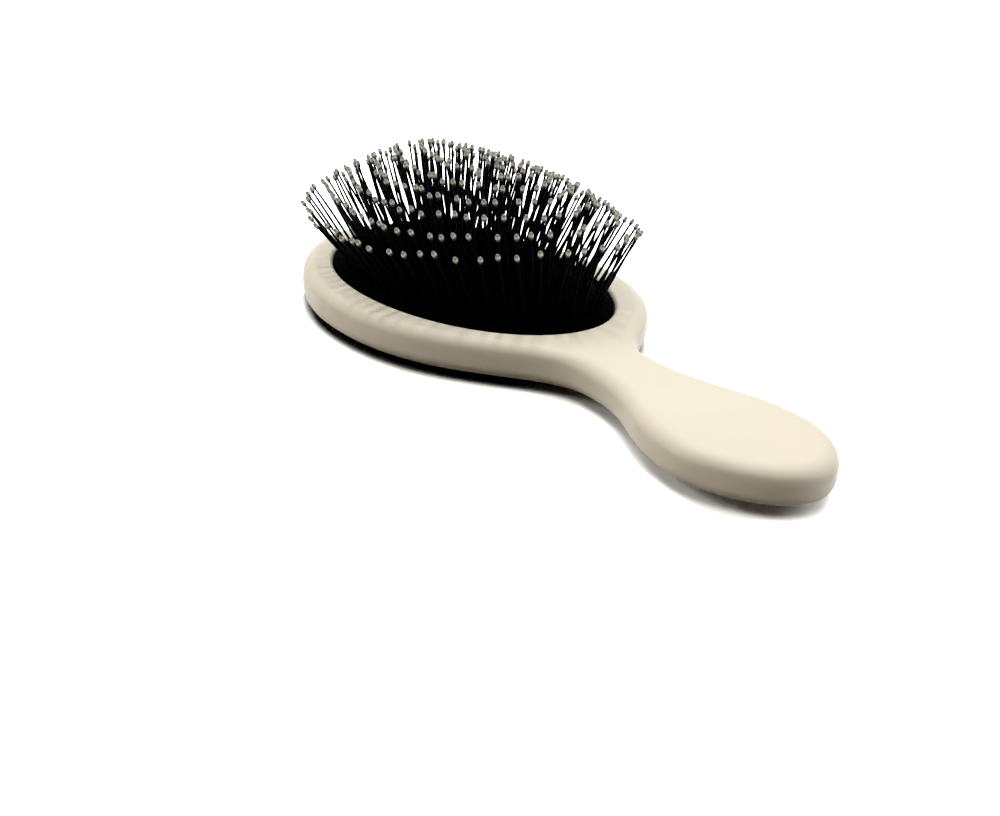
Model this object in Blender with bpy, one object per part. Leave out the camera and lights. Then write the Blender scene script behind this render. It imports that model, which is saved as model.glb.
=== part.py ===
"""Oval cushion brush with ball-tipped pins, lying on its back.

Sizes are in millimetres and MM turns them into metres. +X runs to the end of the handle, +Y across,
+Z up through the pins. The origin is under the middle of the brush, on the surface that it lies on.
"""
import math

import bmesh
import bpy
from mathutils import Vector
from mathutils.geometry import intersect_point_line

MM = 0.001
SHARP_ANGLE = 40

# Outline seen from above. Distances along the brush are from the head's widest place.
HEAD_HALF_WIDTH = 31.0
HEAD_NOSE = 43.3
NECK_AT = 49.2
NECK_HALF_WIDTH = 6.8
GRIP_AT = 79.2
GRIP_HALF_WIDTH = 13.1
HANDLE_END = 94.6

# How full each stretch of the outline is: tangent lengths as shares of the stretch they shape
NOSE_FULLNESS = (0.60, 0.375)
SHOULDER_FULLNESS = (0.695, 0.28)
NECK_FULLNESS = (0.496, 0.448)
END_FULLNESS = (0.42, 0.526)
STRETCH_STEPS = (16, 18, 12, 10)

# Heights of the moulding over the surface it lies on, for the head and for the handle
HEAD_TOP = 7.7
HANDLE_TOP = 7.7
HEAD_BRIM = 1.55
HANDLE_BRIM = 2.6
BLEND_LENGTH = 22.0

# Edge roundings: width seen from above and height
HEAD_ROUND = (4.5, 3.6)
HANDLE_ROUND = (5.5, 2.6)
NECK_ROUND_WIDTH = 4.8
NECK_SPREAD = 9.0
UNDER_ROUND = (1.7, 2.0)
ROUND_STEPS = 5
UNDER_STEPS = 2

# Walls and fits
SEAM_INSET = 2.3
SIDE_WALL = 3.2
TOP_WALL = 2.2
CAVITY_SHOULDER = 1.5
FIT_GAP = 0.3
BACK_WALL = 1.6
BACK_RUN = (13.0, 9.5)
BRIM_FLOOR_SHARE = 0.5
LIP_WIDTH = 1.2
CUT_MARGIN = 1.0
BACK_RINGS = (0.3, 0.55, 0.8)

# Oval opening: the rim's width at the side, at the nose and at the neck
RIM_SIDE = 6.8
RIM_NOSE = 7.5
RIM_NECK = 14.1
RIM_EDGE_ROUND = 0.8
RIM_EDGE_STEPS = 3
OPENING_STEPS = 64
FINE_STEPS = 720

# Rubber pad
FLANGE_REACH = 2.2
FLANGE_THICKNESS = 1.2
PAD_EDGE_HEIGHT = 7.3
PAD_CROWN = 7.0
CROWN_POWER = 2.2
PAD_THICKNESS = 1.8
PAD_SIDE_WALL = 1.1
PAD_SIDE_DROP = 0.9
PAD_CORNER = (0.225, 0.27)
RIB_WIDTH = 1.7
RIB_ROOT = 0.1
SLICE_FACET = 5.0

# Ball-tipped pins, in oval rows round a straight middle row
PIN_INSET = 2.8
ROW_ARCS = (6, 6, 4, 4, 4, 2)
PINS_PER_ARC = (10, 10, 13, 12, 10, 16)
MIDDLE_PINS = 10
PIN_SIDES = 3
PIN_RADIUS = 0.32
PIN_ROOT = 0.9
TIP_RADIUS = 0.54
TIP_LENGTH = 1.4
EDGE_PIN_LENGTH = 13.9
MIDDLE_PIN_LENGTH = 18.0
END_LEAN = 20.9
NOSE_SHARE = 0.4
SIDE_LEAN = 36.6
MIDDLE_STEPS = 20

# Worked out from the sizes above
MIDDLE_X = (HANDLE_END - HEAD_NOSE) / 2
OPENING_HALF_LENGTH = (HEAD_NOSE - RIM_NOSE + NECK_AT - RIM_NECK) / 2
OPENING_HALF_WIDTH = HEAD_HALF_WIDTH - RIM_SIDE
OPENING_X = (NECK_AT - RIM_NECK - HEAD_NOSE + RIM_NOSE) / 2
FLANGE_TOP = HEAD_TOP - TOP_WALL - FIT_GAP
FLANGE_BOTTOM = FLANGE_TOP - FLANGE_THICKNESS
ROW_GAP = (OPENING_HALF_WIDTH - PIN_INSET) / len(ROW_ARCS)
FIRST_SLICE_INSET = FIT_GAP + PAD_SIDE_WALL + FIT_GAP

CREAM = ((0.84, 0.80, 0.70, 1.0), 0.55)
BLACK_RUBBER = ((0.012, 0.012, 0.012, 1.0), 0.6)
BLACK_NYLON = ((0.02, 0.02, 0.02, 1.0), 0.4)


def clear_scene():
    for old in list(bpy.data.objects):
        bpy.data.objects.remove(old, do_unlink=True)


def new_collection(name):
    collection = bpy.data.collections.new(name)
    bpy.context.scene.collection.children.link(collection)
    return collection


def material(name, look):
    colour, roughness = look
    made = bpy.data.materials.new(name)
    made.use_nodes = True
    shader = made.node_tree.nodes["Principled BSDF"]
    shader.inputs["Base Color"].default_value = colour
    shader.inputs["Roughness"].default_value = roughness
    shader.inputs["Metallic"].default_value = 0.0
    made.diffuse_color = colour
    return made


def mix(first, second, share):
    return first + (second - first) * share


def smooth_step(value):
    value = min(max(value, 0.0), 1.0)
    return value * value * (3 - 2 * value)


# Outline

def bezier(points, t):
    """Point and direction of a cubic curve."""
    a, b, c, d = (Vector(p) for p in points)
    s = 1 - t
    place = a * s ** 3 + b * 3 * s * s * t + c * 3 * s * t * t + d * t ** 3
    heading = (b - a) * s * s + (c - b) * 2 * s * t + (d - c) * t * t
    return place, heading.normalized()


def half_outline():
    """Places and outward directions along the +Y side, from the head's nose to the handle's end."""
    nose = (-HEAD_NOSE, 0.0)
    widest = (0.0, HEAD_HALF_WIDTH)
    neck = (NECK_AT, NECK_HALF_WIDTH)
    grip = (GRIP_AT, GRIP_HALF_WIDTH)
    end = (HANDLE_END, 0.0)
    neck_run = GRIP_AT - NECK_AT
    end_run = HANDLE_END - GRIP_AT
    stretches = (
        (nose, (nose[0], NOSE_FULLNESS[0] * HEAD_HALF_WIDTH),
         (-NOSE_FULLNESS[1] * HEAD_NOSE, HEAD_HALF_WIDTH), widest),
        (widest, (SHOULDER_FULLNESS[0] * NECK_AT, HEAD_HALF_WIDTH),
         (NECK_AT * (1 - SHOULDER_FULLNESS[1]), NECK_HALF_WIDTH), neck),
        (neck, (NECK_AT + NECK_FULLNESS[0] * neck_run, NECK_HALF_WIDTH),
         (GRIP_AT - NECK_FULLNESS[1] * neck_run, GRIP_HALF_WIDTH), grip),
        (grip, (GRIP_AT + END_FULLNESS[0] * end_run, GRIP_HALF_WIDTH),
         (HANDLE_END, END_FULLNESS[1] * GRIP_HALF_WIDTH), end),
    )
    stations = []
    for points, steps in zip(stretches, STRETCH_STEPS):
        for step in range(steps):
            place, heading = bezier(points, step / steps)
            stations.append((place, Vector((-heading.y, heading.x))))
    stations.append((Vector(end), Vector((1.0, 0.0))))
    return stations


def full_outline():
    """The half outline, then its mirror image back to the nose."""
    half = half_outline()
    mirrored = [(Vector((p.x, -p.y)), Vector((n.x, -n.y))) for p, n in reversed(half[1:-1])]
    return half + mirrored


OUTLINE = full_outline()


def handle_share(x):
    """0 on the head and 1 on the handle."""
    return smooth_step((x - NECK_AT) / BLEND_LENGTH + 0.5)


def round_width(x):
    """Width of the top edge's rounding, narrower at the neck."""
    width = mix(HEAD_ROUND[0], HANDLE_ROUND[0], handle_share(x))
    return mix(width, NECK_ROUND_WIDTH, math.exp(-((x - NECK_AT) / NECK_SPREAD) ** 2))


def top_height(x):
    return mix(HEAD_TOP, HANDLE_TOP, handle_share(x))


def round_height(x):
    return mix(HEAD_ROUND[1], HANDLE_ROUND[1], handle_share(x))


def brim_height(x):
    """Height of the moulding's lower edge, where the back's dome starts."""
    return mix(HEAD_BRIM, HANDLE_BRIM, handle_share(x))


def ceiling_height(x):
    """Underside of the front shell's top wall."""
    return top_height(x) - TOP_WALL


def shoulder_height(x):
    """Where the front shell's cavity starts to narrow towards its ceiling."""
    return ceiling_height(x) - CAVITY_SHOULDER


def lip_height(x):
    return shoulder_height(x) - FIT_GAP


def outline_loop(inset, height):
    """The outline drawn in by inset(x), at height(x)."""
    loop = []
    for place, outward in OUTLINE:
        inner = place - outward * inset(place.x)
        loop.append(Vector((inner.x, inner.y, height(place.x))))
    return loop


def spine_x(x):
    """Where on the centre line the middle of the moulding lies, for a place x on its outline."""
    return min(max(x, HEAD_HALF_WIDTH - HEAD_NOSE), HANDLE_END - GRIP_HALF_WIDTH)


def edge_distance(place):
    """Distance from a place to the outline."""
    flat = Vector((place.x, place.y, 0.0))
    nearest = min(range(len(OUTLINE)), key=lambda i: (OUTLINE[i][0] - flat.xy).length)
    best = (OUTLINE[nearest][0] - flat.xy).length
    for other in (nearest - 1, (nearest + 1) % len(OUTLINE)):
        start = OUTLINE[nearest][0].to_3d()
        end = OUTLINE[other][0].to_3d()
        foot, share = intersect_point_line(flat, start, end)
        if 0 <= share <= 1:
            best = min(best, (foot - flat).length)
    return best


def back_height(place):
    """Height of the domed back: the brim at the edge, down to nothing over the flat middle."""
    run = (edge_distance(place) - SEAM_INSET) / mix(BACK_RUN[0], BACK_RUN[1], handle_share(place.x))
    return brim_height(place.x) * (1 - min(max(run, 0.0), 1.0)) ** 2


# Mesh building

def add_loop(bm, points):
    return [bm.verts.new(p * MM) for p in points]


def shifted(points):
    """Places measured from the head's widest place, moved so that the origin is mid-length."""
    return [Vector((p.x - MIDDLE_X, p.y, p.z)) for p in points]


def bridge(bm, lower, upper):
    """Faces between two loops of as many points."""
    count = len(lower)
    for i in range(count):
        j = (i + 1) % count
        corners = []
        for vert in (lower[i], lower[j], upper[j], upper[i]):
            if vert not in corners:
                corners.append(vert)
        if len(corners) > 2:
            bm.faces.new(corners)


def spine_verts(bm, height):
    """Points on the centre line, one for each pair of outline points that share it."""
    made = {}
    row = []
    for place, _ in OUTLINE:
        x = spine_x(place.x)
        key = round(x, 4)
        if key not in made:
            made[key] = bm.verts.new(Vector((x - MIDDLE_X, 0.0, height(Vector((x, 0.0, 0.0))))) * MM)
        row.append(made[key])
    return row


def skin(bm, loops, bottom_height, top_height_at):
    """A closed body through outline loops, closed below and above along the centre line."""
    rows = [add_loop(bm, shifted(loop)) for loop in loops]
    rows.insert(0, spine_verts(bm, bottom_height))
    rows.append(spine_verts(bm, top_height_at))
    for lower, upper in zip(rows, rows[1:]):
        bridge(bm, lower, upper)


def finish_mesh(bm, name, collection, surface=None):
    bmesh.ops.recalc_face_normals(bm, faces=bm.faces)
    mesh = bpy.data.meshes.new(name)
    bm.to_mesh(mesh)
    bm.free()
    made = bpy.data.objects.new(name, mesh)
    collection.objects.link(made)
    mesh.shade_smooth()
    mesh.set_sharp_from_angle(angle=math.radians(SHARP_ANGLE))
    if surface:
        mesh.materials.append(surface)
    return made


def combine(target, other, operation):
    """Cut or join with another object, which stays as a wire guide."""
    other.hide_render = True
    other.display_type = "WIRE"
    step = target.modifiers.new(other.name, "BOOLEAN")
    step.operation = operation
    step.object = other
    step.solver = "EXACT"


def oval(inset, count, height=0.0):
    """Points of the opening's oval drawn in by inset."""
    points = []
    for i in range(count):
        t = 2 * math.pi * i / count
        x = OPENING_X + (OPENING_HALF_LENGTH - inset) * math.cos(t)
        y = (OPENING_HALF_WIDTH - inset) * math.sin(t)
        points.append(Vector((x, y, height)))
    return points


def oval_stack(name, collection, sections, count):
    """A closed body through ovals, each an inset and a height, with flat ends."""
    bm = bmesh.new()
    rows = [add_loop(bm, shifted(oval(inset, count, height))) for inset, height in sections]
    for lower, upper in zip(rows, rows[1:]):
        bridge(bm, lower, upper)
    bm.faces.new(rows[0])
    bm.faces.new(rows[-1])
    return finish_mesh(bm, name, collection)


def oval_ring(bm, profile, count):
    """A ring round the opening's oval with a closed profile of insets and heights."""
    rows = [add_loop(bm, shifted(oval(inset, count, height))) for inset, height in profile]
    for lower, upper in zip(rows, rows[1:] + rows[:1]):
        bridge(bm, lower, upper)


# Moulded shells

def make_front_shell(parts, cutters, surface):
    """Handle and rim in one moulding, hollow from below, with the oval opening for the pad."""
    loops = []
    for step in range(UNDER_STEPS, -1, -1):
        angle = math.pi / 2 * step / UNDER_STEPS
        inset = UNDER_ROUND[0] * (1 - math.cos(angle))
        rise = UNDER_ROUND[1] * (1 - math.sin(angle))
        loops.append(outline_loop(lambda x, i=inset: i, lambda x, r=rise: brim_height(x) + r))
    for step in range(ROUND_STEPS + 1):
        angle = math.pi / 2 * step / ROUND_STEPS
        loops.append(outline_loop(
            lambda x, a=angle: round_width(x) * (1 - math.cos(a)),
            lambda x, a=angle: top_height(x) - round_height(x) * (1 - math.sin(a))))
    bm = bmesh.new()
    skin(bm, loops, lambda p: brim_height(p.x), lambda p: top_height(p.x))
    shell = finish_mesh(bm, "front_shell", parts, surface)

    bm = bmesh.new()
    skin(bm, [outline_loop(lambda x: SEAM_INSET, lambda x: -CUT_MARGIN),
              outline_loop(lambda x: SEAM_INSET, shoulder_height),
              outline_loop(lambda x: SIDE_WALL, ceiling_height)],
         lambda p: -CUT_MARGIN, lambda p: ceiling_height(p.x))
    combine(shell, finish_mesh(bm, "front_cavity", cutters), "DIFFERENCE")

    sections = [(0.0, FLANGE_BOTTOM)]
    for step in range(RIM_EDGE_STEPS):
        angle = math.pi / 2 * step / RIM_EDGE_STEPS
        sections.append((-RIM_EDGE_ROUND * (1 - math.cos(angle)),
                         HEAD_TOP - RIM_EDGE_ROUND * (1 - math.sin(angle))))
    sections.append((-RIM_EDGE_ROUND - CUT_MARGIN, HEAD_TOP + CUT_MARGIN))
    combine(shell, oval_stack("pad_opening", cutters, sections, OPENING_STEPS), "DIFFERENCE")
    return shell


def make_back_shell(parts, cutters, surface):
    """Domed back with a flat middle, a locating lip inside its edge and a rib under the pad's flange."""
    edge = SEAM_INSET + FIT_GAP
    inner = edge + LIP_WIDTH
    bm = bmesh.new()
    rows = [spine_verts(bm, back_height)]
    for share in BACK_RINGS:
        loop = []
        for place, outward in OUTLINE:
            rim = place - outward * edge
            point = rim.lerp(Vector((spine_x(place.x), 0.0)), 1 - share).to_3d()
            point.z = back_height(point)
            loop.append(point)
        rows.append(add_loop(bm, shifted(loop)))
    rows.append(add_loop(bm, shifted(outline_loop(lambda x: edge, brim_height))))
    rows.append(add_loop(bm, shifted(outline_loop(lambda x: edge, lip_height))))
    rows.append(add_loop(bm, shifted(outline_loop(lambda x: inner, lip_height))))
    rows.append(add_loop(bm, shifted(outline_loop(lambda x: inner, brim_floor))))
    rows.append(spine_verts(bm, lambda p: BACK_WALL))
    for lower, upper in zip(rows, rows[1:]):
        bridge(bm, lower, upper)
    shell = finish_mesh(bm, "back_shell", parts, surface)

    bm = bmesh.new()
    outside = -FLANGE_REACH + FIT_GAP
    inside = outside + RIB_WIDTH
    rib_top = FLANGE_BOTTOM - FIT_GAP
    root = BACK_WALL + RIB_ROOT
    oval_ring(bm, ((outside, root), (outside, rib_top), (inside, rib_top), (inside, root)), OPENING_STEPS)
    combine(shell, finish_mesh(bm, "flange_rib", cutters), "UNION")
    return shell


def brim_floor(x):
    """Inside floor of the back next to its lip."""
    return brim_height(x) * BRIM_FLOOR_SHARE + BACK_WALL


# Rubber pad

def pad_height(inset):
    """Height of the pad's crown on the oval drawn in by inset."""
    reach = (OPENING_HALF_WIDTH - inset) / OPENING_HALF_WIDTH
    return PAD_EDGE_HEIGHT + PAD_CROWN * (1 - max(reach, 0.0) ** CROWN_POWER)


def make_cushion_edge(parts, surface):
    """The pad's border: flange under the rim, drawn-in side and the start of the crown."""
    outside = FIT_GAP
    inside = outside + PAD_SIDE_WALL
    top = pad_height(inside)
    bm = bmesh.new()
    oval_ring(bm, (
        (-FLANGE_REACH, FLANGE_BOTTOM),
        (-FLANGE_REACH, FLANGE_TOP),
        (outside, FLANGE_TOP),
        (outside, top - PAD_SIDE_DROP),
        (outside + PAD_CORNER[0], top - PAD_CORNER[1]),
        (inside, top),
        (inside, FLANGE_BOTTOM)), OPENING_STEPS)
    return finish_mesh(bm, "cushion_edge", parts, surface)


def oval_point(inset, t):
    x = OPENING_X + (OPENING_HALF_LENGTH - inset) * math.cos(t)
    y = (OPENING_HALF_WIDTH - inset) * math.sin(t)
    return Vector((x, y, pad_height(inset)))


def even_angles(inset, count):
    """count + 1 angles that divide the oval into equal lengths, from 0 to a full turn."""
    lengths = [0.0]
    last = oval_point(inset, 0.0)
    for i in range(1, FINE_STEPS + 1):
        here = oval_point(inset, 2 * math.pi * i / FINE_STEPS)
        lengths.append(lengths[-1] + (here - last).length)
        last = here
    angles = []
    i = 0
    for n in range(count + 1):
        target = lengths[-1] * n / count
        while i < FINE_STEPS - 1 and lengths[i + 1] < target:
            i += 1
        share = (target - lengths[i]) / (lengths[i + 1] - lengths[i])
        angles.append(2 * math.pi * (i + share) / FINE_STEPS)
    return angles, lengths[-1]


# Pins

def pin_lean(place):
    """Direction of a pin: fanned out towards the edge, most at the nose and least at the neck."""
    end_share = (place.x - OPENING_X) / (OPENING_HALF_LENGTH - PIN_INSET)
    side_share = place.y / (OPENING_HALF_WIDTH - PIN_INSET)
    along = math.tan(math.radians(END_LEAN)) * end_share * (1 - NOSE_SHARE * end_share)
    across = math.tan(math.radians(SIDE_LEAN)) * side_share
    return Vector((along, across, 1.0)).normalized()


def add_pin(bm, place, length):
    """One pin with its ball tip, rooted below the pad's surface."""
    direction = pin_lean(place)
    side = direction.cross(Vector((0.0, 1.0, 0.0))).normalized()
    other = direction.cross(side)
    rows = []
    for radius, along in ((PIN_RADIUS, -PIN_ROOT), (PIN_RADIUS, length - TIP_LENGTH),
                          (TIP_RADIUS, length - TIP_LENGTH / 2)):
        ring = []
        for i in range(PIN_SIDES):
            t = 2 * math.pi * i / PIN_SIDES
            ring.append(place + direction * along + (side * math.cos(t) + other * math.sin(t)) * radius)
        rows.append(add_loop(bm, shifted(ring)))
    for lower, upper in zip(rows, rows[1:]):
        bridge(bm, lower, upper)
    bm.faces.new(rows[0])
    apex = add_loop(bm, shifted([place + direction * length])) * PIN_SIDES
    bridge(bm, rows[-1], apex)


def row_inset(row):
    return PIN_INSET + ROW_GAP * row


def row_pin_length(row):
    return mix(EDGE_PIN_LENGTH, MIDDLE_PIN_LENGTH, row / len(ROW_ARCS))


def make_row_arc(row, arc, parts, cutters, rubber, nylon):
    """An arc of one pin row: a slice of the pad with its pins."""
    inset = row_inset(row)
    arcs = ROW_ARCS[row]
    pins = PINS_PER_ARC[row]
    outer = FIRST_SLICE_INSET if row == 0 else inset - ROW_GAP / 2 + FIT_GAP / 2
    inner = inset + ROW_GAP / 2 - FIT_GAP / 2
    angles, around = even_angles(inset, arcs * pins * 2)
    facets = math.ceil(around / arcs / SLICE_FACET)
    start = angles[arc * pins * 2]
    end = angles[(arc + 1) * pins * 2]
    name = f"pins_row{row + 1}_arc{arc + 1}"

    bm = bmesh.new()
    rows = []
    for station in range(facets + 1):
        t = mix(start, end, station / facets)
        section = [oval_point(outer, t), oval_point(inner, t)]
        section += [p - Vector((0.0, 0.0, PAD_THICKNESS)) for p in reversed(section)]
        if station in (0, facets):
            section = [p + end_shift(inset, t, station == 0) for p in section]
        rows.append(add_loop(bm, shifted(section)))
    for lower, upper in zip(rows, rows[1:]):
        bridge(bm, lower, upper)
    bm.faces.new(rows[0])
    bm.faces.new(rows[-1])
    piece = finish_mesh(bm, name, parts, rubber)

    bm = bmesh.new()
    for pin in range(pins):
        t = angles[arc * pins * 2 + pin * 2 + 1]
        add_pin(bm, oval_point(inset, t), row_pin_length(row))
    combine(piece, finish_mesh(bm, name + "_pins", cutters, nylon), "UNION")
    return piece


def end_shift(inset, t, at_start):
    """Draws an arc's end in by half the fit gap, along the oval."""
    along = Vector((-(OPENING_HALF_LENGTH - inset) * math.sin(t),
                    (OPENING_HALF_WIDTH - inset) * math.cos(t), 0.0)).normalized()
    return along * (FIT_GAP / 2) * (1 if at_start else -1)


def make_middle_row(parts, cutters, rubber, nylon):
    """The straight middle row on the pad's narrow centre slice."""
    inset = OPENING_HALF_WIDTH - ROW_GAP / 2 + FIT_GAP / 2
    top = pad_height(inset)
    sections = ((inset, top - PAD_THICKNESS), (inset, top))
    piece = oval_stack("pins_middle_row", parts, sections, MIDDLE_STEPS)
    piece.data.materials.append(rubber)
    half = OPENING_HALF_LENGTH - OPENING_HALF_WIDTH
    bm = bmesh.new()
    for pin in range(MIDDLE_PINS):
        x = OPENING_X + half * (2 * (pin + 0.5) / MIDDLE_PINS - 1)
        add_pin(bm, Vector((x, 0.0, top)), MIDDLE_PIN_LENGTH)
    combine(piece, finish_mesh(bm, "pins_middle_row_pins", cutters, nylon), "UNION")
    return piece


def build():
    clear_scene()
    parts = new_collection("oval_cushion_brush")
    cutters = new_collection("cutters_and_guides")
    cream = material("soft_touch_cream", CREAM)
    rubber = material("black_rubber", BLACK_RUBBER)
    nylon = material("black_nylon", BLACK_NYLON)
    make_front_shell(parts, cutters, cream)
    make_back_shell(parts, cutters, cream)
    make_cushion_edge(parts, rubber)
    for row, arcs in enumerate(ROW_ARCS):
        for arc in range(arcs):
            make_row_arc(row, arc, parts, cutters, rubber, nylon)
    make_middle_row(parts, cutters, rubber, nylon)


build()
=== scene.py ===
"""Looks of the oval cushion brush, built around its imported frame.

Sizes are in millimetres and MM turns them into metres. They repeat the source's own sizes, so each
piece lies where the frame has it. The edge roundings, the handle's brim and the pins' thickness and
lean are nearer to the photograph here. +X runs to the end of the handle, +Z up through the pins.
"""
import math
import random
from collections import namedtuple

import bmesh
import bpy
from mathutils import Matrix, Vector
from mathutils.geometry import intersect_point_line


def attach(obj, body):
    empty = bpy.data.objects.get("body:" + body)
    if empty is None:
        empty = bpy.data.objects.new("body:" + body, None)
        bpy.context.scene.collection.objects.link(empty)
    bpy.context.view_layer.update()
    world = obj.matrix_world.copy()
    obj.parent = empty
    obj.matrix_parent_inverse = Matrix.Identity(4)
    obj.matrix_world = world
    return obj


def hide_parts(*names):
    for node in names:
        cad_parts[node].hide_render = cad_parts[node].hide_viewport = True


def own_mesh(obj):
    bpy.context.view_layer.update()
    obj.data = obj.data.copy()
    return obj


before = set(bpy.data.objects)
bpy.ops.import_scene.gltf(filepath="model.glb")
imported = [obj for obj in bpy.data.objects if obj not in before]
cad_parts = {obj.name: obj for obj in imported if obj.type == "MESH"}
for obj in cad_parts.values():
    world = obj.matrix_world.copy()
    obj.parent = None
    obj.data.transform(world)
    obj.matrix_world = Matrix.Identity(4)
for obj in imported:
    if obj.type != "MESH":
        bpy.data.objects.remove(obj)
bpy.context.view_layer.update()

MM = 0.001

# Outline seen from above. Distances along the brush are from the head's widest place.
HEAD_HALF_WIDTH = 31.0
HEAD_NOSE = 43.3
NECK_AT = 49.2
NECK_HALF_WIDTH = 6.8
GRIP_AT = 79.2
GRIP_HALF_WIDTH = 13.1
HANDLE_END = 94.6

# How full each stretch of the outline is: tangent lengths as shares of the stretch they shape
NOSE_FULLNESS = (0.60, 0.375)
SHOULDER_FULLNESS = (0.695, 0.28)
NECK_FULLNESS = (0.496, 0.448)
END_FULLNESS = (0.42, 0.526)
STRETCH_STEPS = (44, 50, 34, 30)

# Heights of the moulding over the surface it lies on, for the head and for the handle
HEAD_TOP = 7.7
HANDLE_TOP = 7.7
HEAD_BRIM = 1.55
HANDLE_BRIM = 1.9
BLEND_LENGTH = 22.0

# Edge roundings: width seen from above and height
HEAD_ROUND = (2.8, 2.4)
HANDLE_ROUND = (3.1, 2.4)
NECK_ROUND_WIDTH = 2.9
NECK_SPREAD = 9.0
HEAD_UNDER_ROUND = (1.7, 2.0)
HANDLE_UNDER_ROUND = (2.1, 1.9)
ROUND_STEPS = 14
UNDER_STEPS = 6

# Edges turn by more than this many degrees where they are sharp
SHARP_ANGLE = 40
RUBBER_SHARP_ANGLE = 60
STEM_SHARP_ANGLE = 60
TIP_SHARP_ANGLE = 80
# How far the large faces lead in the shells' shading, 50 being even
NORMAL_WEIGHT = 80

# Walls and fits. The back's dome runs in from the seam by BACK_RUN, on the head and on the handle.
SEAM_INSET = 2.3
SIDE_WALL = 3.2
TOP_WALL = 2.2
CAVITY_SHOULDER = 1.5
FIT_GAP = 0.3
BACK_WALL = 1.6
BACK_RUN = (13.0, 9.5)
BRIM_FLOOR_SHARE = 0.5
LIP_WIDTH = 1.2
CUT_MARGIN = 1.0
BACK_RINGS = 14
BACK_RING_POWER = 0.6

# Oval opening: the rim's width at the side, at the nose and at the neck
RIM_SIDE = 6.8
RIM_NOSE = 7.5
RIM_NECK = 14.1
RIM_EDGE_ROUND = 0.8
RIM_EDGE_STEPS = 6
OPENING_STEPS = 180
FINE_STEPS = 720

# Rubber pad
FLANGE_REACH = 2.2
FLANGE_THICKNESS = 1.2
PAD_EDGE_HEIGHT = 7.3
PAD_CROWN = 7.0
CROWN_POWER = 2.2
PAD_THICKNESS = 1.8
PAD_SIDE_WALL = 1.1
PAD_SHOULDER_SHARE = 0.8
PAD_SHOULDER_STEPS = 7
PAD_CENTRE = 0.05
PAD_RINGS = 40
PAD_UNDER_STRIDE = 4

# Pins, in oval rows round a straight middle row. The leans are in degrees.
PIN_INSET = 2.8
ROW_PINS = (60, 60, 52, 48, 40, 32)
MIDDLE_PINS = 10
EDGE_PIN_LENGTH = 13.9
MIDDLE_PIN_LENGTH = 18.0
END_LEAN = 20.9
NOSE_SHARE = 0.4
SIDE_LEAN = 36.6
SIDE_SHIFT = 0.09

# Stem: shares of its radius, first at heights over the pad and then at shares of its free length.
# It ends inside the tip.
PIN_ROOT = 0.45
PIN_SIDES = 10
STEM_RADIUS = 0.26
STEM_FOOT = ((0.0, -PIN_ROOT), (1.15, -PIN_ROOT), (1.1, 0.2), (1.0, 1.2))
STEM_TAPER = ((0.94, 0.35), (0.88, 0.6), (0.82, 0.8), (0.76, 1.0))
STEM_IN_TIP = 0.2

# Tip: shares of its radius at shares of its length
TIP_SIDES = 12
TIP_RADIUS = 0.44
TIP_LENGTH = 1.4
TIP_PROFILE = ((0.0, 0.0), (0.62, 0.02), (0.86, 0.18), (0.98, 0.36), (1.0, 0.52),
               (0.93, 0.70), (0.76, 0.85), (0.50, 0.95), (0.25, 0.99), (0.0, 1.0))

# Rubber collar round a pin's root: radii at heights over the pad. It has a share of the pin's lean.
COLLAR_SIDES = 12
COLLAR_RADIUS = 0.85
COLLAR_HEIGHT = 0.35
COLLAR_ROOT = 0.4
COLLAR_LEAN = 0.5
COLLAR_PROFILE = ((0.0, -COLLAR_ROOT), (COLLAR_RADIUS, -COLLAR_ROOT), (COLLAR_RADIUS, 0.05),
                  (COLLAR_RADIUS * 0.9, COLLAR_HEIGHT * 0.7), (COLLAR_RADIUS * 0.7, COLLAR_HEIGHT),
                  (STEM_RADIUS * 1.5, COLLAR_HEIGHT * 0.9), (0.0, COLLAR_HEIGHT * 0.6))

# How much the pins sway, as a slope, and bend at their tips. The shares of both are tried in turn
# until a pin stands clear of the pins whose feet are nearer than NEIGHBOUR_REACH.
SWAY = 0.03
BEND = 0.4
SWAY_SHARES = (1.0, 0.7, 0.45, 0.2, 0.0)
SWAY_SEED = 7
CLEAR_DISTANCE = 1.2
NEIGHBOUR_REACH = 9
LINE_SAMPLES = 7

# Worked out from the sizes above
MIDDLE_X = (HANDLE_END - HEAD_NOSE) / 2
OPENING_HALF_LENGTH = (HEAD_NOSE - RIM_NOSE + NECK_AT - RIM_NECK) / 2
OPENING_HALF_WIDTH = HEAD_HALF_WIDTH - RIM_SIDE
OPENING_X = (NECK_AT - RIM_NECK - HEAD_NOSE + RIM_NOSE) / 2
FLANGE_TOP = HEAD_TOP - TOP_WALL - FIT_GAP
FLANGE_BOTTOM = FLANGE_TOP - FLANGE_THICKNESS
ROW_GAP = (OPENING_HALF_WIDTH - PIN_INSET) / len(ROW_PINS)
MIDDLE_ROW_INSET = OPENING_HALF_WIDTH - ROW_GAP / 2 + FIT_GAP / 2

PIN_NODES = sorted(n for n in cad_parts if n.startswith("pins_"))

Pin = namedtuple("Pin", "foot direction bend length")


def mix(first, second, share):
    return first + (second - first) * share


def smooth_step(value):
    value = min(max(value, 0.0), 1.0)
    return value * value * (3 - 2 * value)


def quarter_turn(step, steps):
    return math.pi / 2 * step / steps


# Outline and heights, as in the frame but finer

def bezier(points, t):
    """The place on a curve and its heading there."""
    a, b, c, d = (Vector(p) for p in points)
    s = 1 - t
    place = a * s ** 3 + b * 3 * s * s * t + c * 3 * s * t * t + d * t ** 3
    heading = (b - a) * s * s + (c - b) * 2 * s * t + (d - c) * t * t
    return place, heading.normalized()


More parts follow.
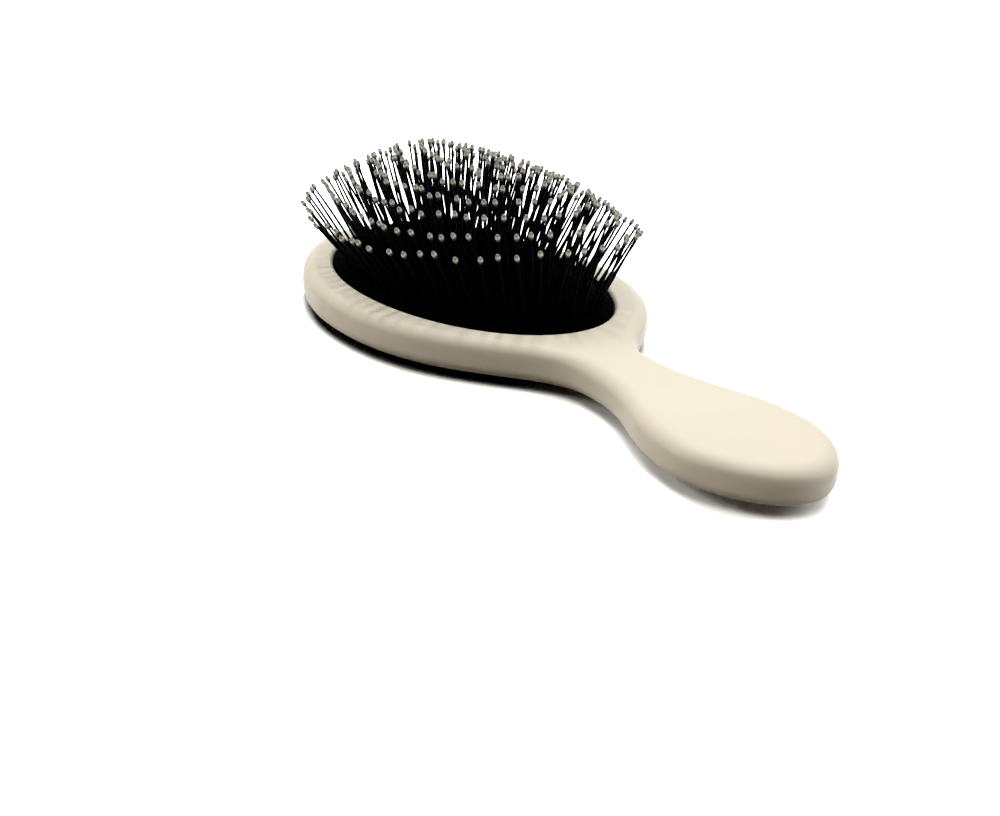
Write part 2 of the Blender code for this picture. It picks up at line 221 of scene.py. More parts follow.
def half_outline():
    """Places along one side from nose to handle end, each with its outward direction."""
    nose = (-HEAD_NOSE, 0.0)
    widest = (0.0, HEAD_HALF_WIDTH)
    neck = (NECK_AT, NECK_HALF_WIDTH)
    grip = (GRIP_AT, GRIP_HALF_WIDTH)
    end = (HANDLE_END, 0.0)
    neck_run = GRIP_AT - NECK_AT
    end_run = HANDLE_END - GRIP_AT
    stretches = (
        (nose, (nose[0], NOSE_FULLNESS[0] * HEAD_HALF_WIDTH),
         (-NOSE_FULLNESS[1] * HEAD_NOSE, HEAD_HALF_WIDTH), widest),
        (widest, (SHOULDER_FULLNESS[0] * NECK_AT, HEAD_HALF_WIDTH),
         (NECK_AT * (1 - SHOULDER_FULLNESS[1]), NECK_HALF_WIDTH), neck),
        (neck, (NECK_AT + NECK_FULLNESS[0] * neck_run, NECK_HALF_WIDTH),
         (GRIP_AT - NECK_FULLNESS[1] * neck_run, GRIP_HALF_WIDTH), grip),
        (grip, (GRIP_AT + END_FULLNESS[0] * end_run, GRIP_HALF_WIDTH),
         (HANDLE_END, END_FULLNESS[1] * GRIP_HALF_WIDTH), end),
    )
    stations = []
    for points, steps in zip(stretches, STRETCH_STEPS):
        for step in range(steps):
            place, heading = bezier(points, step / steps)
            stations.append((place, Vector((-heading.y, heading.x))))
    stations.append((Vector(end), Vector((1.0, 0.0))))
    return stations


def full_outline():
    half = half_outline()
    mirrored = [(Vector((p.x, -p.y)), Vector((n.x, -n.y))) for p, n in reversed(half[1:-1])]
    return half + mirrored


OUTLINE = full_outline()


def handle_share(x):
    """0 on the head and 1 on the handle, with a smooth change at the neck."""
    return smooth_step((x - NECK_AT) / BLEND_LENGTH + 0.5)


def blended(on_head, on_handle):
    """A size that changes from the head's to the handle's, by the distance along the brush."""
    return lambda x: mix(on_head, on_handle, handle_share(x))


top_height = blended(HEAD_TOP, HANDLE_TOP)
brim_height = blended(HEAD_BRIM, HANDLE_BRIM)
plain_round_width = blended(HEAD_ROUND[0], HANDLE_ROUND[0])
round_height = blended(HEAD_ROUND[1], HANDLE_ROUND[1])
under_width = blended(HEAD_UNDER_ROUND[0], HANDLE_UNDER_ROUND[0])
under_height = blended(HEAD_UNDER_ROUND[1], HANDLE_UNDER_ROUND[1])
back_run = blended(*BACK_RUN)


def round_width(x):
    near_neck = math.exp(-((x - NECK_AT) / NECK_SPREAD) ** 2)
    return mix(plain_round_width(x), NECK_ROUND_WIDTH, near_neck)


def ceiling_height(x):
    return top_height(x) - TOP_WALL


def shoulder_height(x):
    return ceiling_height(x) - CAVITY_SHOULDER


def lip_height(x):
    return shoulder_height(x) - FIT_GAP


def brim_floor(x):
    return brim_height(x) * BRIM_FLOOR_SHARE + BACK_WALL


def outline_loop(inset, height):
    """The outline drawn in, at a height. Both are functions of the distance along the brush."""
    loop = []
    for place, outward in OUTLINE:
        inner = place - outward * inset(place.x)
        loop.append(Vector((inner.x, inner.y, height(place.x))))
    return loop


def spine_x(x):
    """The nearest place on the line that the head's and the handle's ends turn round."""
    return min(max(x, HEAD_HALF_WIDTH - HEAD_NOSE), HANDLE_END - GRIP_HALF_WIDTH)


def edge_distance(place):
    flat = Vector((place.x, place.y, 0.0))
    nearest = min(range(len(OUTLINE)), key=lambda i: (OUTLINE[i][0] - flat.xy).length_squared)
    start = OUTLINE[nearest][0]
    best = (start - flat.xy).length
    for other in (nearest - 1, (nearest + 1) % len(OUTLINE)):
        foot, share = intersect_point_line(flat, start.to_3d(), OUTLINE[other][0].to_3d())
        if 0 <= share <= 1:
            best = min(best, (foot - flat).length)
    return best


def back_height(place):
    """Height of the domed back's outside, which is flat in the middle."""
    run = (edge_distance(place) - SEAM_INSET) / back_run(place.x)
    return brim_height(place.x) * (1 - min(max(run, 0.0), 1.0)) ** 2


def oval_place(inset, turn, height):
    """A place on the opening's oval drawn in by inset."""
    return Vector((OPENING_X + (OPENING_HALF_LENGTH - inset) * math.cos(turn),
                   (OPENING_HALF_WIDTH - inset) * math.sin(turn), height))


# Mesh building

def add_loop(bm, points):
    return [bm.verts.new(Vector((p.x - MIDDLE_X, p.y, p.z)) * MM) for p in points]


def bridge(bm, lower, upper):
    count = len(lower)
    for i in range(count):
        j = (i + 1) % count
        corners = []
        for vert in (lower[i], lower[j], upper[j], upper[i]):
            if vert not in corners:
                corners.append(vert)
        if len(corners) > 2:
            bm.faces.new(corners)


def join_rows(bm, rows):
    for lower, upper in zip(rows, rows[1:]):
        bridge(bm, lower, upper)


def spine_row(bm, height):
    """The outline drawn in to the spine, with one corner for places that meet there."""
    made = {}
    row = []
    for place, _ in OUTLINE:
        x = spine_x(place.x)
        key = round(x, 4)
        if key not in made:
            made[key] = add_loop(bm, [Vector((x, 0.0, height(Vector((x, 0.0, 0.0)))))])[0]
        row.append(made[key])
    return row


def oval_rows(bm, profile):
    """Ovals round the opening, from a profile of insets and heights."""
    turns = [2 * math.pi * i / OPENING_STEPS for i in range(OPENING_STEPS)]
    return [add_loop(bm, [oval_place(inset, turn, height) for turn in turns])
            for inset, height in profile]


def shade(mesh, sharp_angle):
    mesh.shade_smooth()
    mesh.set_sharp_from_angle(angle=math.radians(sharp_angle))


def finish_mesh(bm, name, surface=None, sharp_angle=SHARP_ANGLE):
    bmesh.ops.recalc_face_normals(bm, faces=bm.faces)
    mesh = bpy.data.meshes.new(name)
    bm.to_mesh(mesh)
    bm.free()
    made = bpy.data.objects.new(name, mesh)
    bpy.context.scene.collection.objects.link(made)
    shade(mesh, sharp_angle)
    if surface:
        mesh.materials.append(surface)
    return made


def cut_away(target, tool):
    """Cuts with another object, which goes away."""
    step = target.modifiers.new("cut", "BOOLEAN")
    step.operation = "DIFFERENCE"
    step.object = tool
    step.solver = "EXACT"
    bpy.context.view_layer.update()
    evaluated = target.evaluated_get(bpy.context.evaluated_depsgraph_get())
    fresh = bpy.data.meshes.new_from_object(evaluated)
    target.modifiers.clear()
    target.data = fresh
    bpy.data.objects.remove(tool, do_unlink=True)


def even_normals(target):
    """Lets the large flat faces set the shading where they meet a rounding."""
    step = target.modifiers.new("even_normals", "WEIGHTED_NORMAL")
    step.keep_sharp = True
    step.weight = NORMAL_WEIGHT


# Shells

def make_front_shell(surface):
    """Handle and rim in one moulding, hollow from below, with the oval opening for the pad."""
    loops = []
    for step in range(UNDER_STEPS, -1, -1):
        angle = quarter_turn(step, UNDER_STEPS)
        loops.append(outline_loop(
            lambda x, a=angle: under_width(x) * (1 - math.cos(a)),
            lambda x, a=angle: brim_height(x) + under_height(x) * (1 - math.sin(a))))
    for step in range(ROUND_STEPS + 1):
        angle = quarter_turn(step, ROUND_STEPS)
        loops.append(outline_loop(
            lambda x, a=angle: round_width(x) * (1 - math.cos(a)),
            lambda x, a=angle: top_height(x) - round_height(x) * (1 - math.sin(a))))
    bm = bmesh.new()
    rows = [spine_row(bm, lambda p: brim_height(p.x))]
    rows += [add_loop(bm, loop) for loop in loops]
    rows.append(spine_row(bm, lambda p: top_height(p.x)))
    join_rows(bm, rows)
    shell = finish_mesh(bm, "handle_and_rim", surface)

    bm = bmesh.new()
    rows = [spine_row(bm, lambda p: -CUT_MARGIN)]
    for inset, height in ((SEAM_INSET, lambda x: -CUT_MARGIN), (SEAM_INSET, shoulder_height),
                          (SIDE_WALL, ceiling_height)):
        rows.append(add_loop(bm, outline_loop(lambda x, i=inset: i, height)))
    rows.append(spine_row(bm, lambda p: ceiling_height(p.x)))
    join_rows(bm, rows)
    cut_away(shell, finish_mesh(bm, "cavity_tool"))

    profile = [(0.0, FLANGE_BOTTOM)]
    for step in range(RIM_EDGE_STEPS + 1):
        angle = quarter_turn(step, RIM_EDGE_STEPS)
        profile.append((-RIM_EDGE_ROUND * (1 - math.cos(angle)),
                        HEAD_TOP - RIM_EDGE_ROUND * (1 - math.sin(angle))))
    profile.append((-RIM_EDGE_ROUND - CUT_MARGIN, HEAD_TOP + CUT_MARGIN))
    bm = bmesh.new()
    rows = oval_rows(bm, profile)
    join_rows(bm, rows)
    bm.faces.new(rows[0])
    bm.faces.new(rows[-1])
    cut_away(shell, finish_mesh(bm, "opening_tool"))
    shade(shell.data, SHARP_ANGLE)
    even_normals(shell)
    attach(shell, "root")
    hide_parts("front_shell")


def make_back_shell(surface):
    """Domed back with a locating lip inside its edge."""
    edge = SEAM_INSET + FIT_GAP
    inner = edge + LIP_WIDTH
    bm = bmesh.new()
    rows = [spine_row(bm, back_height)]
    for ring in range(1, BACK_RINGS):
        share = (ring / BACK_RINGS) ** BACK_RING_POWER
        loop = []
        for place, outward in OUTLINE:
            rim = place - outward * edge
            point = rim.lerp(Vector((spine_x(place.x), 0.0)), 1 - share).to_3d()
            point.z = back_height(point)
            loop.append(point)
        rows.append(add_loop(bm, loop))
    for inset, height in ((edge, brim_height), (edge, lip_height), (inner, lip_height),
                          (inner, brim_floor)):
        rows.append(add_loop(bm, outline_loop(lambda x, i=inset: i, height)))
    rows.append(spine_row(bm, lambda p: BACK_WALL))
    join_rows(bm, rows)
    shell = finish_mesh(bm, "domed_back", surface)
    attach(shell, "root")
    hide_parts("back_shell")


# Pad

def pad_height(inset):
    """Height of the pad's crown on the oval drawn in by inset."""
    reach = (OPENING_HALF_WIDTH - inset) / OPENING_HALF_WIDTH
    return PAD_EDGE_HEIGHT + PAD_CROWN * (1 - max(reach, 0.0) ** CROWN_POWER)


def make_pad_flange(surface):
    """The pad's border under the rim, which stays still."""
    outside = FIT_GAP
    inside = outside + PAD_SIDE_WALL
    bm = bmesh.new()
    rows = oval_rows(bm, (
        (-FLANGE_REACH, FLANGE_BOTTOM), (-FLANGE_REACH, FLANGE_TOP), (outside, FLANGE_TOP),
        (outside, PAD_EDGE_HEIGHT), (inside, PAD_EDGE_HEIGHT), (inside, FLANGE_BOTTOM)))
    join_rows(bm, rows + rows[:1])
    flange = finish_mesh(bm, "pad_flange", surface)
    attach(flange, "root")
    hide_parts("cushion_edge")


def squash_with_press(piece):
    """Gives the piece a mesh of its own."""
    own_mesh(piece)


def make_pad_crown(surface):
    """The crowned rubber pad in one sheet, closed below."""
    first = FIT_GAP
    inside = first + PAD_SIDE_WALL
    shoulder = PAD_SIDE_WALL * PAD_SHOULDER_SHARE
    top = [(first, PAD_EDGE_HEIGHT)]
    for step in range(1, PAD_SHOULDER_STEPS):
        angle = quarter_turn(step, PAD_SHOULDER_STEPS)
        top.append((first + shoulder * (1 - math.cos(angle)),
                    mix(PAD_EDGE_HEIGHT, pad_height(first + shoulder), math.sin(angle))))
    for ring in range(PAD_RINGS + 1):
        inset = mix(first + shoulder, OPENING_HALF_WIDTH - PAD_CENTRE, ring / PAD_RINGS)
        top.append((inset, pad_height(inset)))
    under = [(inset, max(height - PAD_THICKNESS, PAD_EDGE_HEIGHT))
             for inset, height in top[::-PAD_UNDER_STRIDE] if inset > inside]
    under.append((inside, PAD_EDGE_HEIGHT))
    bm = bmesh.new()
    top_rows = oval_rows(bm, top)
    under_rows = oval_rows(bm, under)
    join_rows(bm, top_rows)
    bm.faces.new(top_rows[-1])
    bm.faces.new(under_rows[0])
    join_rows(bm, under_rows + top_rows[:1])
    crown = finish_mesh(bm, "rubber_pad", surface, RUBBER_SHARP_ANGLE)
    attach(crown, "root")
    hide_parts("cushion_edge", *PIN_NODES)
    squash_with_press(crown)


# Pins

def pad_place(inset, turn):
    return oval_place(inset, turn, pad_height(inset))


def even_places(inset, count):
    """Places that divide the oval into equal lengths."""
    lengths = [0.0]
    last = pad_place(inset, 0.0)
    for i in range(1, FINE_STEPS + 1):
        here = pad_place(inset, 2 * math.pi * i / FINE_STEPS)
        lengths.append(lengths[-1] + (here - last).length)
        last = here
    places = []
    i = 0
    for n in range(count):
        target = lengths[-1] * (n + 0.5) / count
        while i < FINE_STEPS - 1 and lengths[i + 1] < target:
            i += 1
        share = (target - lengths[i]) / (lengths[i + 1] - lengths[i])
        places.append(pad_place(inset, 2 * math.pi * (i + share) / FINE_STEPS))
    return places


def pin_lean(foot):
    end_share = (foot.x - OPENING_X) / (OPENING_HALF_LENGTH - PIN_INSET)
    side_share = foot.y / (OPENING_HALF_WIDTH - PIN_INSET)
    along = math.tan(math.radians(END_LEAN)) * end_share * (1 - NOSE_SHARE * end_share)
    across = math.tan(math.radians(SIDE_LEAN)) * (side_share - SIDE_SHIFT)
    return Vector((along, across, 1.0)).normalized()


def pin_rows():
    """(body, feet, length) of each row, from the outer one to the middle one."""
    rows = []
    for row, count in enumerate(ROW_PINS):
        length = mix(EDGE_PIN_LENGTH, MIDDLE_PIN_LENGTH, row / len(ROW_PINS))
        rows.append((f"pad_row{row + 1}", even_places(PIN_INSET + ROW_GAP * row, count), length))
    top = pad_height(MIDDLE_ROW_INSET)
    half = OPENING_HALF_LENGTH - OPENING_HALF_WIDTH
    feet = [Vector((OPENING_X + half * (2 * (pin + 0.5) / MIDDLE_PINS - 1), 0.0, top))
            for pin in range(MIDDLE_PINS)]
    rows.append(("pad_middle", feet, MIDDLE_PIN_LENGTH))
    return rows


def line_distance(first, second):
    """Least distance between two pins' axes, each a start and an end."""
    best = math.inf
    for (a, b), (c, d) in ((first, second), (second, first)):
        for k in range(LINE_SAMPLES):
            point = c.lerp(d, k / (LINE_SAMPLES - 1))
            _, share = intersect_point_line(point, a, b)
            foot = a.lerp(b, min(max(share, 0.0), 1.0))
            best = min(best, (foot - point).length)
    return best


def swayed_pins(rows):
    """Each pin with a small sway and bend of its own, which never bring two pins together."""
    draw = random.Random(SWAY_SEED)
    placed = []
    made = []
    for body, feet, length in rows:
        pins = []
        for foot in feet:
            lean = pin_lean(foot)
            sway = Vector((draw.gauss(0, 1), draw.gauss(0, 1), 0.0)) * SWAY
            bend = Vector((draw.gauss(0, 1), draw.gauss(0, 1), 0.0)) * BEND
            near = [axis for axis in placed if (axis[0] - foot).length < NEIGHBOUR_REACH]
            for share in SWAY_SHARES:
                direction = (lean + sway * share).normalized()
                axis = (foot, foot + direction * length + bend * share)
                if all(line_distance(axis, other) > CLEAR_DISTANCE for other in near):
                    break
            placed.append(axis)
            pins.append(Pin(foot, direction, bend * share, length))
        made.append((body, pins))
    return made


def pin_place(pin, along):
    """The middle of a bent pin at a distance from the pad."""
    return pin.foot + pin.direction * along + pin.bend * (max(along, 0.0) / pin.length) ** 2


def revolve(bm, profile, centre_at, direction, sides):
    """A closed turned body, from radii and places along it. Returns its rows of corners."""
    side = direction.cross(Vector((0.0, 1.0, 0.0))).normalized()
    other = direction.cross(side)
    turns = [2 * math.pi * i / sides for i in range(sides)]
    rows = []
    for radius, along in profile:
        centre = centre_at(along)
        if radius == 0:
            rows.append(add_loop(bm, [centre]) * sides)
        else:
            rows.append(add_loop(bm, [
                centre + (side * math.cos(turn) + other * math.sin(turn)) * radius
                for turn in turns]))
    join_rows(bm, rows)
    return rows


def make_stems(name, pins, nylon):
    bm = bmesh.new()
    for pin in pins:
        free = pin.length - TIP_LENGTH
        stations = list(STEM_FOOT) + [(share, free * part) for share, part in STEM_TAPER]
        stations.append((0.0, free + TIP_LENGTH * STEM_IN_TIP))
        revolve(bm, [(STEM_RADIUS * share, along) for share, along in stations],
                lambda along: pin_place(pin, along), pin.direction, PIN_SIDES)
    return finish_mesh(bm, name, nylon, STEM_SHARP_ANGLE)


def make_tips(name, pins, enamel):
    """The ball tips, whose tip_shade runs from 0 at the stem to 1 at the end."""
    bm = bmesh.new()
    tip_shade = bm.verts.layers.float.new("tip_shade")
    for pin in pins:
        start = pin_place(pin, pin.length - TIP_LENGTH)
        heading = (pin_place(pin, pin.length) - start).normalized()
        rows = revolve(bm, [(TIP_RADIUS * share, along) for share, along in TIP_PROFILE],
                       lambda along: start + heading * TIP_LENGTH * along, heading, TIP_SIDES)
        for (_, along), row in zip(TIP_PROFILE, rows):
            for vert in row:
                vert[tip_shade] = along
    return finish_mesh(bm, name, enamel, TIP_SHARP_ANGLE)


def make_collars(rows, rubber):
    bm = bmesh.new()
    for _, pins in rows:
        for pin in pins:
            heading = Vector((0.0, 0.0, 1.0)).lerp(pin.direction, COLLAR_LEAN).normalized()
            revolve(bm, COLLAR_PROFILE, lambda along: pin.foot + heading * along, heading,
                    COLLAR_SIDES)
    collars = finish_mesh(bm, "pin_collars", rubber, RUBBER_SHARP_ANGLE)
    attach(collars, "root")
    squash_with_press(collars)


def make_pins(nylon, enamel, rubber):
    rows = swayed_pins(pin_rows())
    for body, pins in rows:
        name = body.replace("pad_", "pins_")
        nodes = [n for n in PIN_NODES if n.startswith(name + "_")]
        stems = make_stems(name + "_stems", pins, nylon)
        tips = make_tips(name + "_tips", pins, enamel)
        for piece, slot in ((stems, "pins"), (tips, "tips")):
            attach(piece, body)
            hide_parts(*nodes)
    make_collars(rows, rubber)


# Materials. Colours are linear red, green, blue and opacity, and scales are features in a metre.

CREAM_DEEP = (0.840, 0.748, 0.586, 1)
CREAM_PALE = (0.880, 0.788, 0.624, 1)
CREAM_FLECK = (0.74, 0.64, 0.48, 1)
RUBBER_DEEP = (0.0001, 0.0001, 0.00012, 1)
RUBBER_PALE = (0.0003, 0.0003, 0.00034, 1)
RUBBER_DUST = (0.35, 0.34, 0.32, 1)
NYLON_DEEP = (0.0002, 0.0002, 0.00022, 1)
NYLON_PALE = (0.0005, 0.0005, 0.00055, 1)
TIP_ROOT = (0.045, 0.040, 0.032, 1)
TIP_NECK = (0.20, 0.185, 0.145, 1)
TIP_DROP = (0.96, 0.93, 0.82, 1)
TIP_END = (0.30, 0.28, 0.20, 1)
TIP_MOTTLE = (0.36, 0.33, 0.25, 1)
# A Mix node has sockets for each kind of value, and these are the colour ones
MIX_SHARE, MIX_FIRST, MIX_SECOND, MIX_RESULT = 0, 6, 7, 2


class Nodes:
    """Short names for what a material's node tree needs."""

    def __init__(self, name):
        self.material = bpy.data.materials.new(name)
        self.material.use_nodes = True
        self.tree = self.material.node_tree
        self.shader = self.tree.nodes["Principled BSDF"]
        self.place = self.add("ShaderNodeTexCoord").outputs["Object"]

    def add(self, kind, **values):
        node = self.tree.nodes.new(kind)
        for key, value in values.items():
            setattr(node, key, value)
        return node

    def feed(self, value, socket):
        """Links another node's output, or writes a plain value."""
        if isinstance(value, bpy.types.NodeSocket):
            self.tree.links.new(value, socket)
        else:
            socket.default_value = value

    def noise(self, scale, detail):
        node = self.add("ShaderNodeTexNoise")
        self.feed(self.place, node.inputs["Vector"])
        self.feed(scale, node.inputs["Scale"])
        self.feed(detail, node.inputs["Detail"])
        return node.outputs["Fac"]

    def spots(self, scale):
        node = self.add("ShaderNodeTexVoronoi")
        self.feed(self.place, node.inputs["Vector"])
        self.feed(scale, node.inputs["Scale"])
        return node.outputs["Distance"]

    def ramp(self, source, *stops):
        node = self.add("ShaderNodeValToRGB")
        ready = list(node.color_ramp.elements)
        for index, (place, colour) in enumerate(stops):
            stop = ready[index] if index < len(ready) else node.color_ramp.elements.new(place)
            stop.position = place
            stop.color = colour
        self.feed(source, node.inputs["Fac"])
        return node.outputs["Color"]

    def spread(self, source, low, high, start=0.3, end=0.7):
        """Maps start to end onto low to high. A noise seldom leaves 0.3 to 0.7."""
        node = self.add("ShaderNodeMapRange")
        for key, value in (("Value", source), ("From Min", start), ("From Max", end),
                           ("To Min", low), ("To Max", high)):
            self.feed(value, node.inputs[key])
        return node.outputs["Result"]

    def multiply(self, first, second):
        node = self.add("ShaderNodeMath", operation="MULTIPLY")
        self.feed(first, node.inputs[0])
        self.feed(second, node.inputs[1])
        return node.outputs[0]

    def blend(self, share, first, second):
        node = self.add("ShaderNodeMix", data_type="RGBA")
        self.feed(share, node.inputs[MIX_SHARE])
        self.feed(first, node.inputs[MIX_FIRST])
        self.feed(second, node.inputs[MIX_SECOND])
        return node.outputs[MIX_RESULT]

    def bump(self, height, strength, depth):
        """Raises the surface by up to depth, in millimetres."""
        node = self.add("ShaderNodeBump")
        self.feed(strength, node.inputs["Strength"])
        self.feed(depth * MM, node.inputs["Distance"])
        self.feed(height, node.inputs["Height"])
        self.feed(node.outputs["Normal"], self.shader.inputs["Normal"])

    def colour(self, value):
        self.feed(value, self.shader.inputs["Base Color"])

    def roughness(self, value):
        self.feed(value, self.shader.inputs["Roughness"])

    def specular(self, value):
        self.feed(value, self.shader.inputs["Specular IOR Level"])


def soft_touch_cream():
    """Matte cream lacquer over moulded plastic: faint mottling, fine grain, soft gloss."""
    made = Nodes("soft_touch_cream")
    mottled = made.ramp(made.noise(scale=38.0, detail=4.0), (0.30, CREAM_DEEP), (0.70, CREAM_PALE))
    fleck = made.spread(made.noise(scale=5200.0, detail=2.0), low=0.0, high=0.10,
                        start=0.55, end=0.75)
    made.colour(made.blend(fleck, mottled, CREAM_FLECK))
    made.roughness(made.spread(made.noise(scale=260.0, detail=4.0), low=0.50, high=0.62))
    made.bump(made.noise(scale=4200.0, detail=3.0), strength=0.18, depth=0.03)
    made.specular(0.35)
    return made.material


def black_rubber():
    """Moulded rubber: near black, fine grain, a little dust."""
    made = Nodes("black_rubber")
    dust = made.spread(made.spots(scale=420.0), low=1.0, high=0.0, start=0.03, end=0.06)
    sparse = made.spread(made.noise(scale=170.0, detail=1.0), low=0.0, high=0.12,
                         start=0.58, end=0.66)
    tone = made.ramp(made.noise(scale=900.0, detail=3.0), (0.35, RUBBER_DEEP), (0.70, RUBBER_PALE))
    made.colour(made.blend(made.multiply(dust, sparse), tone, RUBBER_DUST))
    made.roughness(made.spread(made.noise(scale=650.0, detail=3.0), low=0.50, high=0.66))
    made.bump(made.noise(scale=3600.0, detail=2.0), strength=0.25, depth=0.04)
    made.specular(0.001)
    return made.material


def black_nylon():
    """Smooth extruded nylon."""
    made = Nodes("black_nylon")
    tone = made.ramp(made.noise(scale=700.0, detail=2.0), (0.35, NYLON_DEEP), (0.70, NYLON_PALE))
    made.colour(tone)
    made.roughness(made.spread(made.noise(scale=1400.0, detail=2.0), low=0.34, high=0.48))
    made.bump(made.noise(scale=5200.0, detail=2.0), strength=0.10, depth=0.02)
    made.specular(0.006)
    return made.material


def ball_tip():
    """Dipped ball tip: a pale drop, darker where it meets the stem and at its end."""
    made = Nodes("ball_tip")
    tip_shade = made.add("ShaderNodeAttribute", attribute_name="tip_shade").outputs["Fac"]
    along = made.ramp(tip_shade, (0.24, TIP_ROOT), (0.38, TIP_NECK), (0.46, TIP_DROP),
                      (0.68, TIP_DROP), (0.82, TIP_END))
    mottled = made.spread(made.noise(scale=1500.0, detail=2.0), low=0.0, high=0.08)
    made.colour(made.blend(mottled, along, TIP_MOTTLE))
    made.roughness(made.spread(made.noise(scale=1800.0, detail=2.0), low=0.28, high=0.42))
    made.bump(made.noise(scale=3500.0, detail=2.0), strength=0.10, depth=0.03)
    return made.material


# Stage

# Camera, fitted to the photograph. The angles are in degrees, and the clip distances in metres.
CAMERA_PLACE = Vector((168.15, -115.97, 75.33))
CAMERA_YAW = -57.17
CAMERA_PITCH = -22.87
CAMERA_ROLL = 3.76
CAMERA_LENS = 43.2
SENSOR_WIDTH = 36.0
CLIP_START = 0.01
CLIP_END = 20.0

# The floor's radius is in metres. It ends where the lamps still make it white, and the white world
# goes on behind it.
FLOOR_RADIUS = 1.1
FLOOR_SIDES = 96
FLOOR_SEEN = 3.6
FLOOR_BOUNCE = (0.14, 0.125, 0.105, 1)
# Painted contact shade: to the camera the floor darkens by its ambient occlusion within
# CONTACT_DEPTH millimetres, fully at CONTACT_DARK and not at all from CONTACT_CLEAR.
CONTACT_DEPTH = 3.0
CONTACT_DARK = 0.45
CONTACT_CLEAR = 0.85
# Along the handle, between these two places in metres, the floor's least tone rises from 0: painted
# light that pales the painted shade under the handle.
HANDLE_CONTACT_START = 0.010
HANDLE_CONTACT_END = 0.034
HANDLE_PAINTED_LIFT = 1.5

# Each lamp's place ahead of the brush and to its right as the camera sees it, for each unit up, the
# lamp's side in metres, its power in watts and its colour
LAMP_DISTANCE = 1.4
COOL_LIGHT = (0.96, 0.995, 1.05)
WARM_LIGHT = (1.0, 0.985, 0.94)
LAMPS = (
    ("key_lamp", 0.5, 0.0, 0.28, 10.3, COOL_LIGHT),
    ("high_right_lamp", 0.0, 1.0, 0.4, 2.3, COOL_LIGHT),
    ("right_lamp", 0.0, 1.8, 0.4, 4.4, WARM_LIGHT),
    ("left_lamp", 0.0, -1.8, 0.4, 6.0, WARM_LIGHT),
    ("front_lamp", -0.6, 0.0, 0.4, 2.7, WARM_LIGHT),
    ("far_right_lamp", 0.7, 0.7, 0.4, 1.0, COOL_LIGHT),
    ("far_left_lamp", 0.7, -0.7, 0.4, 2.7, COOL_LIGHT),
)
WORLD_LIGHT = 0.012


def make_camera():
    """Makes the photograph's camera and returns its forward direction."""
    yaw, pitch, roll = (math.radians(a) for a in (CAMERA_YAW, CAMERA_PITCH, CAMERA_ROLL))
    forward = Vector((math.sin(yaw) * math.cos(pitch), math.cos(yaw) * math.cos(pitch),
                      math.sin(pitch)))
    level = Vector((math.cos(yaw), -math.sin(yaw), 0.0))
    upward = level.cross(forward)
    right = level * math.cos(roll) + upward * math.sin(roll)
    upward = upward * math.cos(roll) - level * math.sin(roll)
    data = bpy.data.cameras.new("camera")
    data.sensor_width = SENSOR_WIDTH
    data.lens = CAMERA_LENS
    data.clip_start = CLIP_START
    data.clip_end = CLIP_END
    camera = bpy.data.objects.new("camera", data)
    bpy.context.scene.collection.objects.link(camera)
    turn = Matrix((right, upward, -forward)).transposed().to_4x4()
    camera.matrix_world = Matrix.Translation(CAMERA_PLACE * MM) @ turn
    bpy.context.scene.camera = camera
    return forward


def seen_directly(tree):
    """1 for rays from the camera and for mirror and clear-glass rays."""
    path = tree.nodes.new("ShaderNodeLightPath")
    total = path.outputs["Is Camera Ray"]
    for name in ("Is Glossy Ray", "Is Transmission Ray"):
        add = tree.nodes.new("ShaderNodeMath")
        add.operation = "ADD"
        add.use_clamp = True
        tree.links.new(total, add.inputs[0])
        tree.links.new(path.outputs[name], add.inputs[1])
        total = add.outputs[0]
    return total


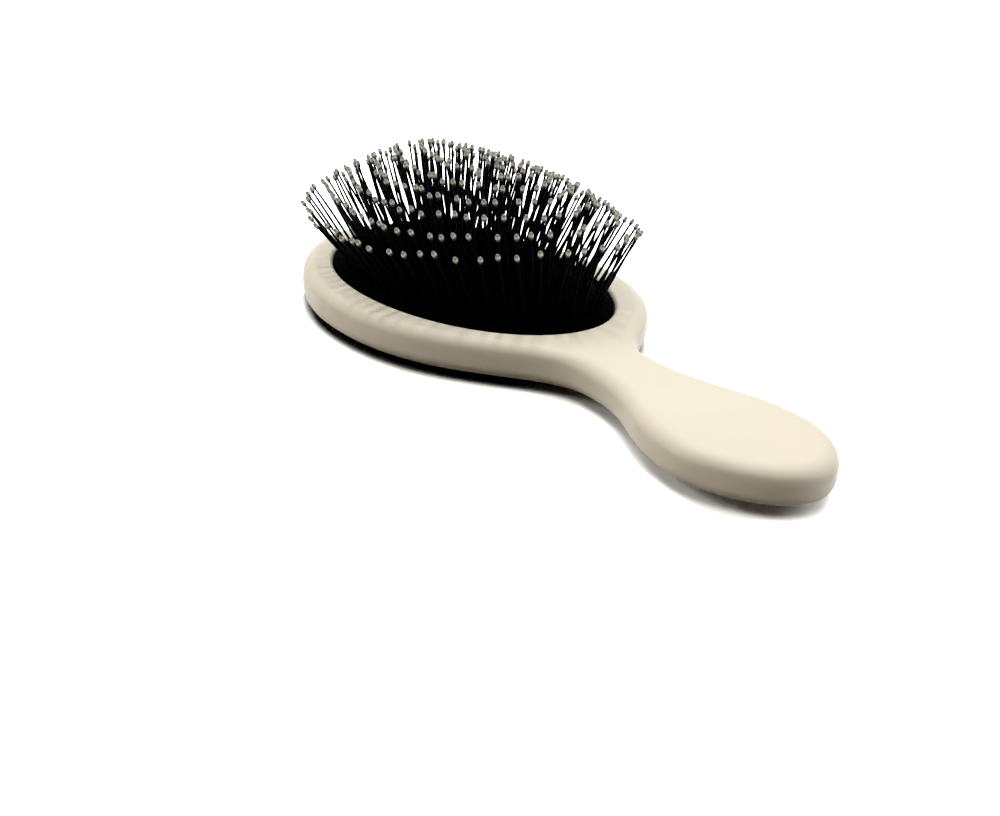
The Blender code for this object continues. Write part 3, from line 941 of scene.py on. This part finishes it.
def make_floor():
    """A pale sheet, white to the camera, with painted shade where the brush all but touches it,
    paled by painted light under the handle.
    """
    made = Nodes("white_floor")
    made.roughness(1.0)
    made.specular(0.0)
    # Painted contact shade, from the floor's ambient occlusion
    occlusion_for_painted_shade = made.add("ShaderNodeAmbientOcclusion")
    made.feed(CONTACT_DEPTH * MM, occlusion_for_painted_shade.inputs["Distance"])
    along = made.add("ShaderNodeSeparateXYZ")
    made.feed(made.place, along.inputs["Vector"])
    # Painted light: the floor's least tone rises along the handle
    painted_lift_under_handle = made.spread(along.outputs["X"], low=0.0, high=HANDLE_PAINTED_LIFT,
                        start=HANDLE_CONTACT_START, end=HANDLE_CONTACT_END)
    tone = made.spread(occlusion_for_painted_shade.outputs["AO"], low=painted_lift_under_handle, high=FLOOR_SEEN,
                       start=CONTACT_DARK, end=CONTACT_CLEAR)
    made.colour(made.blend(seen_directly(made.tree), FLOOR_BOUNCE, tone))
    bm = bmesh.new()
    bmesh.ops.create_circle(bm, cap_ends=True, segments=FLOOR_SIDES, radius=FLOOR_RADIUS)
    mesh = bpy.data.meshes.new("floor")
    bm.to_mesh(mesh)
    bm.free()
    mesh.materials.append(made.material)
    floor = bpy.data.objects.new("floor", mesh)
    bpy.context.scene.collection.objects.link(floor)


def add_lamp(name, toward, size, power, colour):
    """A square soft lamp that looks at the middle of the brush from a direction."""
    data = bpy.data.lights.new(name, "AREA")
    data.shape = "SQUARE"
    data.size = size
    data.energy = power
    data.color = colour
    lamp = bpy.data.objects.new(name, data)
    bpy.context.scene.collection.objects.link(lamp)
    lamp.location = toward * LAMP_DISTANCE
    lamp.rotation_mode = "QUATERNION"
    lamp.rotation_quaternion = toward.to_track_quat("Z", "Y")


def light_scene(forward):
    """Soft lamps overhead, the strongest behind the brush as the camera sees it."""
    away = Vector((forward.x, forward.y, 0.0)).normalized()
    right = Vector((away.y, -away.x, 0.0))
    for name, ahead, aside, size, power, colour in LAMPS:
        toward = away * ahead + right * aside + Vector((0, 0, 1.0))
        add_lamp(name, toward.normalized(), size, power, colour)
    world = bpy.data.worlds.new("studio")
    bpy.context.scene.world = world
    world.use_nodes = True
    tree = world.node_tree
    shader = tree.nodes["Background"]
    strength = tree.nodes.new("ShaderNodeMapRange")
    strength.inputs["To Min"].default_value = WORLD_LIGHT
    strength.inputs["To Max"].default_value = 1.0
    tree.links.new(seen_directly(tree), strength.inputs["Value"])
    tree.links.new(strength.outputs["Result"], shader.inputs["Strength"])
    shader.inputs["Color"].default_value = (1, 1, 1, 1)
    bpy.context.scene.view_settings.view_transform = "Standard"


facing = make_camera()
make_floor()
light_scene(facing)
cream = soft_touch_cream()
rubber = black_rubber()
make_front_shell(cream)
make_back_shell(cream)
make_pad_flange(rubber)
make_pad_crown(rubber)
make_pins(black_nylon(), ball_tip(), rubber)

bpy.context.view_layer.update()
